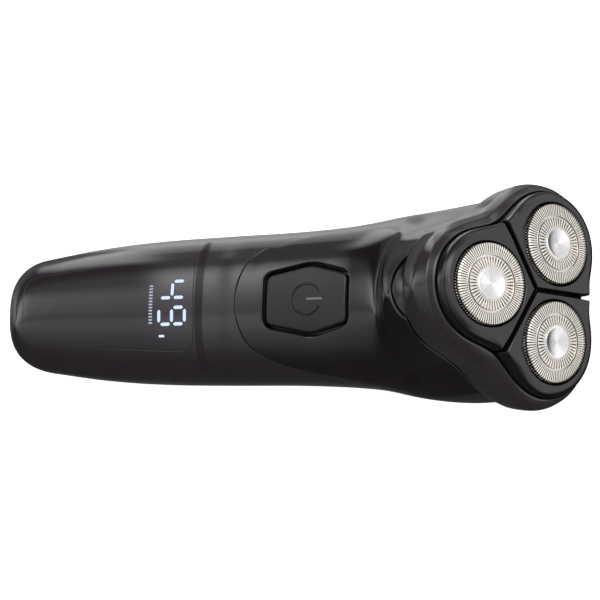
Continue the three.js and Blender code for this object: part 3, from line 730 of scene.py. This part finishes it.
def handle_pieces():
    """The outer skins of the handle, the button with a near-black ring of painted shade under its gap, and
    the hinge's knuckles.
    """
    shell, piano = LOOKS["shell"], LOOKS["piano"]
    front = patch("front_shell_skin", front_shell_loops(), edge=0.15, rise=dip, spacing=0.95)
    finish_piece(front, "handle", shell, ["front_shell"])
    window = patch("display_window_skin", [window_loop()], edge=0.05)
    finish_piece(window, "handle", LOOKS["lens"], ["display_window"])
    neck = patch("neck_cover_skin", neck_loops(), edge=0.5, rise=neck_rise, spacing=0.85)
    finish_piece(neck, "handle", piano, ["neck_cover"])
    recess = [np.vstack([[(TOP, NOTCH_HALF * AROUND)], notch_line()[1:-1], [(TOP, -NOTCH_HALF * AROUND)]])]
    thumb = patch("thumb_recess_skin", recess, edge=0.05, wall=1.8, rise=notch_floor, spacing=0.6)
    finish_piece(thumb, "handle", piano)
    button = patch("power_button_skin", [grown(button_loop(), -BUTTON_GAP)], edge=1.1, wall=3.2,
                   rise=level_at(BUTTON_PROUD), spacing=0.7)
    finish_piece(button, "button", LOOKS["satin"], ["power_button"])
    rear = patch("rear_shell_skin", rear_loops(), edge=0.22)
    finish_piece(rear, "handle", shell, ["rear_shell"])
    # A near-black ring sunk under the button's gap: painted shade.
    ring = [grown(button_loop(), GAP_SHADE_OUT), grown(button_loop(), -GAP_SHADE_IN)]
    gap_shade = patch("button_gap_shade", ring, edge=0.1, wall=2.9, rise=level_at(-GAP_SHADE_DEEP), spacing=0.8)
    finish_piece(gap_shade, "handle", LOOKS["painted_shade_black"])
    for side, ends in both_sides(KNUCKLE_ENDS).items():
        knuckle = barrel("hinge_knuckle_" + side, KNUCKLE, *ends, web=-5)
        finish_piece(knuckle, "handle", shell)


handle_pieces()


# ---- Power symbol on the button ----

SYMBOL_AT, SYMBOL_RADIUS, SYMBOL_GAP, SYMBOL_BAR = 100.7, 4.4, math.radians(28), 4.8
SYMBOL_WIDE, SYMBOL_TALL = 0.72, 0.13
SYMBOL_SUNK = 0.01  # below the button's skin


def bead(path, wide, tall):
    """A rounded raised line along a path; gives its points, their heights and its faces."""
    ahead = unit(np.gradient(path, axis=0))
    across = np.stack([-ahead[:, 1], ahead[:, 0]], -1)
    turns = np.radians([0, 36, 72, 108, 144, 180])
    points = np.stack([path + across * wide / 2 * math.cos(turn) for turn in turns], 1).reshape(-1, 2)
    heights = np.stack([np.full(len(path), tall * math.sin(turn)) for turn in turns], 1).ravel()
    return points, heights, [face[::-1] for face in grid_faces(len(path), len(turns), False, False)]


def power_symbol():
    """An open ring with a bar in its gap, raised on the button; the ring is near-black, painted shade of an
    engraved groove.
    """
    turn = np.linspace(SYMBOL_GAP, TURN - SYMBOL_GAP, 60)
    arc = np.stack([SYMBOL_AT + SYMBOL_RADIUS * np.cos(turn), SYMBOL_RADIUS * np.sin(turn)], -1)
    bar = np.stack([np.linspace(SYMBOL_AT, SYMBOL_AT + SYMBOL_BAR, 12), np.zeros(12)], -1)
    # The ring's near-black colour is painted groove shade; the bar is paler.
    for name, path, finish in (("power_ring", arc, "painted_shade_black"), ("power_bar", bar, "pale_line")):
        points, heights, faces = bead(path, SYMBOL_WIDE, SYMBOL_TALL)
        flat = lay_out(points)
        point, normal, _, _ = surface(flat[:, 0], flat[:, 1] / AROUND)
        height = BUTTON_PROUD - SYMBOL_SUNK + heights
        piece = link(name, point + normal * height[:, None], faces)
        finish_piece(piece, "button", LOOKS[finish])


power_symbol()


# ---- Head housing and pads ----

RING = np.linspace(0, TURN, 240, endpoint=False)


def head_ring(radius, level):
    """A ring of points round the head's axis, in the head's frame."""
    return np.stack([-radius * np.cos(RING), radius * np.sin(RING),
                     np.broadcast_to(level, radius.shape)], -1)


def wall_rings(section):
    """Rings for a section given as (level, depth inside the head's outline) pairs."""
    return [head_ring(clover(RING, level) - depth, level) for level, depth in section]


def housing():
    """The head's shell, with rooms for the handle's knuckles and its own hinge barrel."""
    section = [(HOUSING_BOTTOM, 0.3)]
    section += [(level, 0) for level in np.linspace(HOUSING_BOTTOM + 0.3, HOUSING_TOP - 0.3, 46)]
    section += [(HOUSING_TOP - 0.08, 0.08), (HOUSING_TOP, 0.25), (HOUSING_TOP - 0.06, 0.42),
                (HOUSING_TOP - 0.25, 0.5), (-6.4, 1.7), (-11, 2), (-16, 2), (HOUSING_BOTTOM, 2)]
    piece = loft("head_housing_skin", wall_rings(section), HEAD)
    cut(piece, [barrel("room", KNUCKLE + 0.4, *ends) for ends in both_sides(ROOM_ENDS).values()])
    piece.data.set_sharp_from_angle(angle=math.radians(SHARP))
    finish_piece(piece, "head", LOOKS["head"], ["head_housing"])
    hinge = barrel("hinge_barrel", KNUCKLE, -BARREL_END, BARREL_END, web=4.5)
    finish_piece(hinge, "head", LOOKS["shell"])


def cutter_frame_rim():
    """Closes the gap between the cutter frame and the housing's wall."""
    rings = wall_rings([(-9.7, 1.9), (-9.0, 1.9), (-9.0, 3.4), (-9.7, 3.4)])
    finish_piece(loft("cutter_frame_rim", rings, HEAD), "head", LOOKS["dark"])


LIP_FOOT, LIP_EDGE, LIP_TALL = NECK_TOP - 1.2, NECK_TOP - 0.4, 2.2
LIP_OUTSIDE, LIP_INSIDE = 2.5, 3.4  # depths inside the head's outline


def neck_lip():
    """Raised rim on the neck's end, inside the housing's wall; low at the finger recess and the hinge."""
    from_front = np.abs((RING + math.pi) % TURN - math.pi)
    raised = smoother((from_front - 0.5) / 0.1) * smoother((math.pi - 0.55 - from_front) / 0.1)
    top = LIP_EDGE + LIP_TALL * raised
    wall = clover(RING, HOUSING_BOTTOM)
    section = ((LIP_FOOT, LIP_OUTSIDE), (top, LIP_OUTSIDE), (top, LIP_INSIDE), (LIP_FOOT, LIP_INSIDE))
    rings = [head_ring(wall - depth, level) for level, depth in section]
    finish_piece(loft("neck_lip", rings, HEAD), "handle", LOOKS["piano"])


PAD_FOOT = -7
SHOULDER_LEAST, SHOULDER_MORE, SHOULDER_DROP = 0.35, 1.6, 1.35  # width, more of it outside, drop for it


def pad_reach(angle):
    """Distance from the cutter's middle to a pad's outer edge, which follows grooves and housing."""
    low, high = np.full_like(angle, 5.0), np.full_like(angle, 30.0)
    for _ in range(HALVINGS):
        r = (low + high) / 2
        x, y = CUTTER_CIRCLE + r * np.cos(angle), r * np.sin(angle)
        groove = x * math.sin(math.pi / 3) - np.abs(y) * math.cos(math.pi / 3) < GROOVE / 2
        outside = np.hypot(x, y) > clover(np.arctan2(y, x), HOUSING_TOP) - PAD_RIM
        out = groove | outside
        low, high = np.where(out, low, r), np.where(out, r, high)
    return low


def pads():
    """Three leaning pads with a hole for the guard and a shoulder that is rounder on the outside."""
    angle = np.linspace(0, TURN, 360, endpoint=False)
    outline = pad_reach(angle)
    shoulder = SHOULDER_LEAST + SHOULDER_MORE * smoother((np.cos(angle) + 0.55) / 0.6)
    flat_from = PAD_HOLE + 0.25

    def ring(r, drop=0.0, level=None):
        """A ring round the cutter's axis, lower than the pad's leaning face by drop, or level."""
        r = np.maximum(r, PAD_HOLE)
        x = CUTTER_CIRCLE + r * np.cos(angle)
        face = -(x - CUTTER_CIRCLE) * math.tan(CUTTER_TILT)
        z = face - drop if level is None else np.full_like(r, level)
        return np.stack([x, r * np.sin(angle), z], -1)

    hole = np.full_like(angle, PAD_HOLE)
    rows = [ring(hole, level=PAD_FOOT), ring(hole, drop=0.25), ring(hole + 0.08, drop=0.07)]
    rows += [ring(flat_from + (outline - shoulder - flat_from) * t) for t in (0, 0.3, 0.6, 0.9, 1)]
    for beta in np.radians([12, 26, 40, 54, 68, 80, 90]):
        rows.append(ring(outline - shoulder * (1 - math.sin(beta)),
                         drop=shoulder * SHOULDER_DROP * (1 - math.cos(beta))))
    rows.append(ring(outline, level=PAD_FOOT))
    for name, turn in LOBES.items():
        piece = loft("pad_skin_" + name, rows, HEAD @ Matrix.Rotation(turn, 4, "Z"), 40)
        finish_piece(piece, "pad_" + name, LOOKS["pad"], ["pad_" + name])


housing()
cutter_frame_rim()
neck_lip()
pads()


# ---- Guards and caps ----

SIDES = 96  # of a turned piece
OUTER_SLOTS, INNER_SLOTS = 90, 45
BAR_THICK = 0.28
# Sections of the guard and its cap, as (radius, height) pairs
OUTER_BARS = [(7.95, 0.89), (8.6, 0.91), (9.2, 0.92), (10.2, 0.9), (10.85, 0.84), (11.12, 0.68),
              (11.24, 0.4), (11.25, -0.7)]
INNER_BARS = [(4.75, 0.88), (6.1, 0.92), (7.4, 0.9)]
INNER_RIM = [(4.6, 0.2), (4.6, 0.82), (4.66, 0.9), (4.84, 0.9), (4.9, 0.82), (4.9, 0.2)]
GROOVE_RING = [(7.25, 0.1), (7.25, 0.88), (7.31, 0.93), (7.4, 0.93), (7.45, 0.8), (7.47, 0.2),
               (7.82, 0.2), (7.84, 0.8), (7.89, 0.93), (8.0, 0.93), (8.06, 0.88), (8.06, 0.1)]
SKIRT = [(11.25, -4.4), (11.25, -0.65), (10.8, -0.65), (10.65, -4.4)]
CAP = [(0, 0.62), (0.6, 0.63), (1.6, 0.68), (2.8, 0.78), (3.6, 0.9), (4.1, 1.02), (4.35, 1.05),
       (4.55, 0.98), (4.65, 0.8), (4.65, 0.1)]


def ribs(count, share, path):
    """Radial bars on a circle, which fill that share of it between their slots."""
    vertices, faces = [], []
    for i in range(count):
        turn = TURN * i / count
        cos, sin = math.cos(turn), math.sin(turn)
        base = len(vertices)
        for k, (r, z) in enumerate(path):
            ahead = np.subtract(path[min(k + 1, len(path) - 1)], path[max(k - 1, 0)])
            out = np.array([-ahead[1], ahead[0]]) / np.linalg.norm(ahead)
            for side, depth in ((-1, 0), (1, 0), (1, BAR_THICK), (-1, BAR_THICK)):
                rr, zz = r - out[0] * depth, z - out[1] * depth
                across = side * share * math.pi * r / count
                vertices.append((rr * cos - across * sin, rr * sin + across * cos, zz))
        faces += [tuple(base + i for i in face) for face in grid_faces(len(path), 4, False, True)]
        end = base + 4 * (len(path) - 1)
        faces += [(base + 3, base + 2, base + 1, base), (end, end + 1, end + 2, end + 3)]
    return vertices, faces


def around_axis(section):
    """Points of a section turned about the z axis."""
    turns = [TURN * i / SIDES for i in range(SIDES)]
    return [(r * math.cos(turn), r * math.sin(turn), z) for turn in turns for r, z in section]


def band(section):
    """A closed ring."""
    return around_axis(section), grid_faces(SIDES, len(section), True, True)


def merge(parts):
    """Several (points, faces) pairs as one."""
    vertices, faces = [], []
    for v, f in parts:
        base = len(vertices)
        vertices += v
        faces += [tuple(base + i for i in face) for face in f]
    return vertices, faces


def turned(name, section, matrix):
    """A turned disc, closed in the middle; its section starts on the axis."""
    vertices, faces = [(0, 0, section[0][1])], []
    for r, z in section[1:]:
        vertices += around_axis([(r, z)])
    for i in range(SIDES):
        ahead = (i + 1) % SIDES
        faces.append((0, 1 + i, 1 + ahead))
        for start in range(1, len(vertices) - SIDES, SIDES):
            faces.append((start + i, start + i + SIDES, start + ahead + SIDES, start + ahead))
    return link(name, vertices, faces, matrix=matrix, sharp=SHARP)


PAINTED_FAN_TURN, PAINTED_FAN_DARK, PAINTED_FAN_POWER = 0.6, 0.7, 1.6  # painted highlight and shade: light and dark fans of a turned flat face
PAINTED_STREAKS, PAINTED_STREAK_DEPTH = 11.0, 0.06
TOOL_MARKS, MARK_RELIEF = 900.0, 0.05


def spun(name, colour, rough, anisotropic):
    """Turned metal: fine rings about the local z axis, with a stretched highlight, and a painted highlight
    of light and dark fans in its colour.
    """
    made = look(name, colour, rough, metallic=1.0, grain=0.004, vary=0.04)
    tree = made.node_tree
    join = tree.links.new
    shader = tree.nodes["Principled BSDF"]
    set_inputs(shader, Anisotropic=anisotropic)
    tangent = node(tree, "Tangent")
    tangent.direction_type = "RADIAL"
    tangent.axis = "Z"
    join(tangent.outputs["Tangent"], shader.inputs["Tangent"])
    place = node(tree, "TexCoord").outputs["Object"]
    wave = node(tree, "TexWave", Scale=TOOL_MARKS, Distortion=0.4, Detail=2.0)
    wave.wave_type = "RINGS"
    wave.rings_direction = "Z"
    join(place, wave.inputs["Vector"])
    spot = node(tree, "SeparateXYZ")
    join(place, spot.inputs[0])
    # Painted highlight and shade: light and dark fans round the axis, with fine streaks, multiplied into
    # the base colour.
    turn = maths(tree, "ARCTAN2", spot.outputs["Y"], spot.outputs["X"])
    painted_fans = maths(tree, "COSINE", maths(tree, "MULTIPLY_ADD", turn, 2.0, PAINTED_FAN_TURN))
    painted_fans = maths(tree, "POWER", maths(tree, "MULTIPLY_ADD", painted_fans, 0.5, 0.5), PAINTED_FAN_POWER)
    painted_streaks = maths(tree, "COSINE", maths(tree, "MULTIPLY", turn, PAINTED_STREAKS))
    painted_fans = maths(tree, "ADD", painted_fans, maths(tree, "MULTIPLY", painted_streaks, PAINTED_STREAK_DEPTH))
    bright = maths(tree, "MULTIPLY_ADD", painted_fans, 1 - PAINTED_FAN_DARK, PAINTED_FAN_DARK)
    painted_grey = node(tree, "CombineColor")
    for channel in ("Red", "Green", "Blue"):
        join(bright, painted_grey.inputs[channel])
    painted_sheen = node(tree, "Mix")
    painted_sheen.data_type = "RGBA"
    painted_sheen.blend_type = "MULTIPLY"
    set_inputs(painted_sheen, Factor=1.0)
    join(shader.inputs["Base Color"].links[0].from_socket, painted_sheen.inputs["A"])
    join(painted_grey.outputs["Color"], painted_sheen.inputs["B"])
    join(painted_sheen.outputs["Result"], shader.inputs["Base Color"])
    relief = node(tree, "Bump", Strength=MARK_RELIEF, Distance=0.00005)
    join(wave.outputs["Fac"], relief.inputs["Height"])
    join(shader.inputs["Normal"].links[0].from_socket, relief.inputs["Normal"])
    join(relief.outputs["Normal"], shader.inputs["Normal"])
    return made


def cutter_axis(lobe):
    """Frame on the axis of one cutter: z along the head's axis, x away from the head's middle."""
    return (HEAD @ Matrix.Rotation(LOBES[lobe], 4, "Z")
            @ Matrix.Translation((CUTTER_CIRCLE * MM, 0, 0)))


def guards():
    """Slotted steel guards, each with a turned cap in its middle."""
    vertices, faces = merge([ribs(OUTER_SLOTS, 0.6, OUTER_BARS), ribs(INNER_SLOTS, 0.58, INNER_BARS),
                             band(INNER_RIM), band(GROOVE_RING), band(SKIRT)])
    slotted = look("slotted_steel", (0.67, 0.645, 0.59), 0.24, metallic=1.0, grain=0.04)
    cap_metal = spun("spun_aluminium", (0.8, 0.8, 0.79), 0.22, 0.6)
    for name in LOBES:
        place = cutter_axis(name) @ Matrix.Rotation(CUTTER_TILT, 4, "Y")
        guard = link("guard_skin_" + name, vertices, faces, matrix=place, sharp=SHARP)
        finish_piece(guard, "guard_" + name, slotted, ["guard_" + name])
        cap = turned("guard_cap_skin_" + name, CAP, place)
        finish_piece(cap, "guard_" + name, cap_metal, ["guard_cap_" + name])


guards()


# ---- Springs under the drive spindles ----

SPRING_TURNS, SPRING_RADIUS, SPRING_WIRE = 4, 1.45, 0.2
SPRING_FOOT, SPRING_TALL, SPINDLE_TRAVEL = -25.5, 2.9, 1.2


def springs():
    """Each spring stands on its gear under its spindle, with a mesh of its own."""
    per_turn, sides = 24, 8
    steps = SPRING_TURNS * per_turn
    rows = []
    for i in range(steps + 1):
        turn, level = TURN * i / per_turn, SPRING_FOOT + SPRING_TALL * i / steps
        for k in range(sides):
            tilt = TURN * k / sides
            r = SPRING_RADIUS + SPRING_WIRE * math.cos(tilt)
            rows.append((r * math.cos(turn), r * math.sin(turn), level + SPRING_WIRE * math.sin(tilt)))
    faces = grid_faces(steps + 1, sides, False, True)
    faces += [tuple(reversed(range(sides))), tuple(steps * sides + k for k in range(sides))]
    for name in LOBES:
        place = cutter_axis(name)
        spring = link("spring_skin_" + name, rows, faces, matrix=place)
        finish_piece(spring, "gear_" + name, LOOKS["nickel"], ["spindle_spring_" + name])
        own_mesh(spring)


springs()


# ---- Lit display ----

DIGIT_STROKES = {"4": "fgbc", "9": "abcdfg"}
DIGIT_WIDE, DIGIT_TALL, STROKE = 4.8, 8.2, 0.95
DIGITS_AT = 54.4  # foot of the digits, along the spine
DIGITS = [("4", 6.6), ("9", -1.1)]  # each with its left edge
COLON_AT, COLON_ENDS = (54.7, 55.5), (-8.3, -10.2)
SCALE_ENDS, SCALE_LINES = (52.5, 50.8), np.arange(5.4, -6.2, -0.9)
HALO = 0.5  # how much wider it is than the strokes


def segment(kind, x, y):
    """Start and end of one stroke of a digit; a digit's top points to the head (+x) and reads to -y."""
    top, middle, bottom = x + DIGIT_TALL, x + DIGIT_TALL / 2, x
    left, right = y, y - DIGIT_WIDE
    ends = {"a": ((top, left), (top, right)), "g": ((middle, left), (middle, right)),
            "d": ((bottom, left), (bottom, right)), "f": ((middle, left), (top, left)),
            "b": ((middle, right), (top, right)), "c": ((bottom, right), (middle, right))}
    return ends[kind]


def stroke(ends, wide, slant=0.35):
    """A bar with slanted ends laid on the skin, as a strip of cells."""
    start, end = np.array(ends, float)
    ahead = unit(end - start)
    across = np.array([-ahead[1], ahead[0]])
    start, end = start + ahead * wide * 0.62, end - ahead * wide * 0.62
    vertices, n = [], 9
    for k in range(n):
        t = k / (n - 1)
        taper = min(1.0, min(t, 1 - t) * (n - 1) * 0.9 + slant)
        centre = start + (end - start) * t
        vertices += [centre + across * side * wide / 2 * taper for side in (-1, 0, 1)]
    return vertices, grid_faces(n, 3, False, False)


def on_display(name, strokes, height, finish):
    """Strokes as one piece, a little above the display window."""
    vertices, faces = merge(strokes)
    flat = lay_out(vertices)
    point, normal, _, _ = surface(flat[:, 0], flat[:, 1] / AROUND)
    finish_piece(link(name, point + normal * height, faces, normal), "handle", finish)


def lit(name, colour, strength):
    """Glowing, slightly uneven light."""
    made, tree, shader, place = material(name)
    join = tree.links.new
    grain = node(tree, "TexNoise", Scale=900.0, Detail=1.0)
    join(place, grain.inputs["Vector"])
    uneven = mixed(tree, grain.outputs["Fac"], [c * 0.9 for c in colour], colour)
    join(uneven, shader.inputs["Emission Color"])
    join(uneven, shader.inputs["Base Color"])
    set_inputs(shader, Emission_Strength=strength, Roughness=0.3)
    return made


def display():
    """Two digits and a colon with a faint halo, and a scale beside them."""
    strokes = [segment(kind, DIGITS_AT, y) for digit, y in DIGITS for kind in DIGIT_STROKES[digit]]
    strokes += [[(x, y) for y in COLON_ENDS] for x in COLON_AT]
    on_display("display_halo", [stroke(ends, STROKE + HALO) for ends in strokes], 0.015,
               lit("lit_halo", (0.1, 0.15, 0.42), 0.6))
    on_display("display_digits", [stroke(ends, STROKE) for ends in strokes], 0.03,
               lit("lit_segments", (0.74, 0.84, 1.0), 1.1))
    on_display("display_scale", [stroke([(x, y) for x in SCALE_ENDS], 0.45, slant=1) for y in SCALE_LINES],
               0.03, lit("lit_ticks", (0.7, 0.8, 1.0), 0.7))


display()


# ---- Floor, backdrop and light ----

def stage():
    """White paper floor that glows a little, so that it stays white under the dim room."""
    size = 3000
    corners = [(-size, -size, 0), (size, -size, 0), (size, size, 0), (-size, size, 0)]
    floor = link("floor", corners, [(0, 1, 2, 3)])
    paper = look("paper", (0.92, 0.92, 0.92), 0.8, vary=0.01)
    shader = paper.node_tree.nodes["Principled BSDF"]
    set_inputs(shader, Emission_Color=(1, 1, 1, 1), Emission_Strength=0.8)
    floor.data.materials.append(paper)
    floor.visible_glossy = False


# Brightness of the room by direction round the handle: degrees from straight up, towards +Y.
ROOM = [(-180, 0.1), (-150, 0.04), (-130, 0.05), (-105, 0.07), (-85, 0.1), (-68, 0.15), (-53, 0.28),
        (-41, 0.52), (-30, 0.72), (-20, 0.96), (-12, 1.25), (-5, 1.5), (0.5, 1.5), (3, 1.05), (6, 1.1),
        (9, 1.42), (11, 1.8), (15, 2.35), (20, 2.95), (27, 3.75), (34, 3.8), (40, 2.7), (44, 2),
        (50, 0.65), (58, 0.5), (84, 0.45), (88, 1.3), (105, 1.9), (118, 2.3), (140, 0.9), (165, 0.4),
        (180, 0.15)]
ROOM_PEAK = 4.0
# Where lights begin and end, by the x, y or z of a direction
GAP_FROM, GAP_TO = (-0.355, -0.3), (0.0, -0.08)
BEHIND, ASIDE, WALL = (-0.455, -0.505), (0.12, 0.42), (0.74, 0.84)
UNDER_X, UNDER_Z = (-0.25, -0.1), (0.0, -0.25)
STRIP_X, STRIP_LEVEL, STRIP_HALF = (0.1, 0.55), -0.06, (0.5, 0.22)
GAP_LOSS, UNDER_LOSS = 0.7, 0.8
BEHIND_LOSS, ASIDE_LOSS = 0.25, 0.6
WALL_BRIGHT, STRIP_BRIGHT = 3.2, 1.3


def world():
    """A dim studio round the shaver: soft boxes overhead, a strip in front, a wall beside its end."""
    made = bpy.data.worlds.new("studio")
    bpy.context.scene.world = made
    made.use_nodes = True
    tree = made.node_tree
    join = tree.links.new
    place = node(tree, "TexCoord")
    split = node(tree, "SeparateXYZ")
    join(place.outputs["Generated"], split.inputs[0])
    x, y, z = split.outputs

    def dimmed(room, where, loss):
        """The room with a share of its light taken away somewhere."""
        return maths(tree, "MULTIPLY", room, maths(tree, "MULTIPLY_ADD", where, -loss, 1.0))

    angle = maths(tree, "ARCTAN2", y, z)
    share = maths(tree, "MULTIPLY_ADD", angle, 0.5 / math.pi, 0.5)
    ramp = node(tree, "ValToRGB")
    stops = ramp.color_ramp.elements
    for degrees, _ in ROOM[1:-1]:
        stops.new(degrees / 360 + 0.5)
    for stop, (_, bright) in zip(stops, ROOM):
        stop.color = [bright / ROOM_PEAK] * 3 + [1]
    join(share, ramp.inputs["Fac"])
    room = maths(tree, "MULTIPLY", ramp.outputs["Color"], ROOM_PEAK)
    # The soft boxes end in front of the button; a tall strip stands in front of the cutters.
    gap = maths(tree, "MULTIPLY", ramp_between(tree, x, *GAP_FROM), ramp_between(tree, x, *GAP_TO))
    room = dimmed(room, gap, GAP_LOSS)
    # Behind the charging end the room is dim, but for a bright wall on the +Y side.
    behind = ramp_between(tree, x, *BEHIND)
    loss = maths(tree, "MULTIPLY_ADD", ramp_between(tree, y, *ASIDE), ASIDE_LOSS, BEHIND_LOSS)
    room = dimmed(room, maths(tree, "MULTIPLY", behind, loss), 1.0)
    wall = maths(tree, "MULTIPLY", behind, ramp_between(tree, y, *WALL))
    room = maths(tree, "MULTIPLY_ADD", wall, WALL_BRIGHT, room)
    # Little light comes from below the head's end.
    under = maths(tree, "MULTIPLY", ramp_between(tree, x, *UNDER_X), ramp_between(tree, z, *UNDER_Z))
    room = dimmed(room, under, UNDER_LOSS)
    off = maths(tree, "ABSOLUTE", maths(tree, "SUBTRACT", z, STRIP_LEVEL))
    strip = maths(tree, "MULTIPLY", ramp_between(tree, x, *STRIP_X), ramp_between(tree, off, *STRIP_HALF))
    total = maths(tree, "ADD", dimmed(room, strip, 1.0), maths(tree, "MULTIPLY", strip, STRIP_BRIGHT))
    # The backdrop itself is white.
    seen = node(tree, "LightPath").outputs["Is Camera Ray"]
    back = tree.nodes["Background"]
    set_inputs(back, Color=(1, 0.985, 1, 1))
    join(maths(tree, "MAXIMUM", total, seen), back.inputs["Strength"])


stage()
world()
bpy.context.scene.view_settings.view_transform = "Standard"
